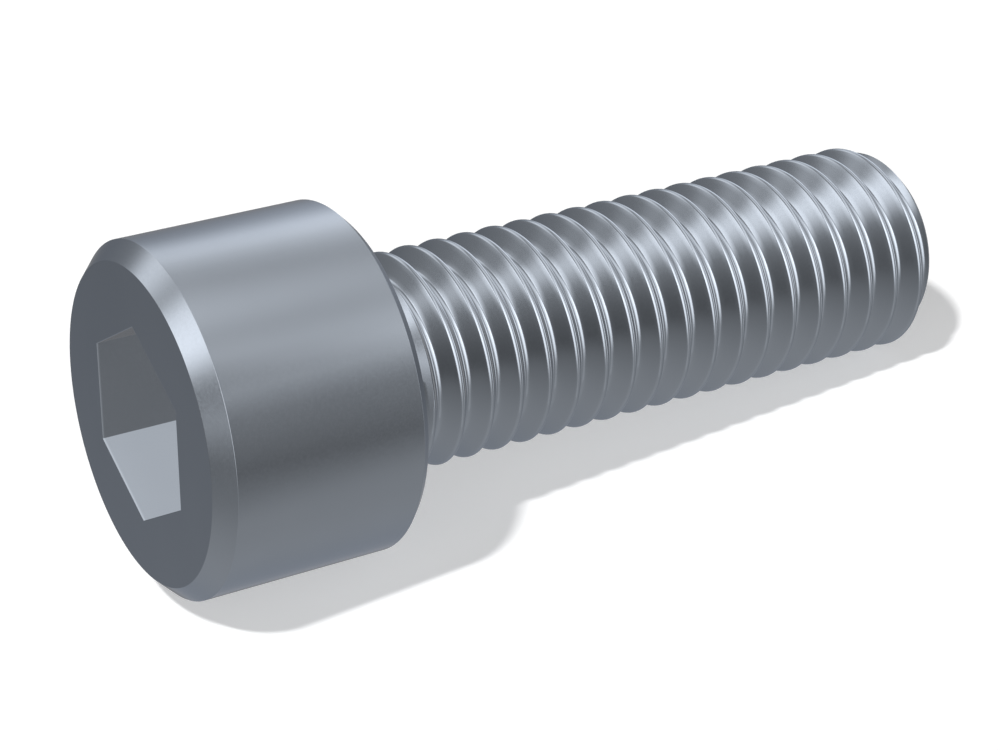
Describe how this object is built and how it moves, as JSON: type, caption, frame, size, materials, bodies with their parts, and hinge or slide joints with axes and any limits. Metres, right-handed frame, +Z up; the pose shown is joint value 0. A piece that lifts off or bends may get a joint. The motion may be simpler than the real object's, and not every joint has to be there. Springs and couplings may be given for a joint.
{
  "type": "socket head cap screw",
  "caption": "Socket head cap screw with a plain chamfered cylinder head, a hexagon socket and a coarse right-hand thread up to the head, lying at rest on its head edge and thread tip.",
  "frame": {"origin": "bottom centre of the box round the screw, on the surface that it lies on", "axes": "+X runs level from the head towards the tip, +Z is up; the screw's own axis lies in the XZ plane and dips 5.93 degrees towards the tip, because it rests on the edge of its wider head and on its last thread crest"},
  "size_m": [0.041, 0.016, 0.0168],
  "materials": {
    "steel": "satin blue-grey alloy steel"
  },
  "bodies": {
    "root": {"screw": "steel"}
  },
  "joints": []
}
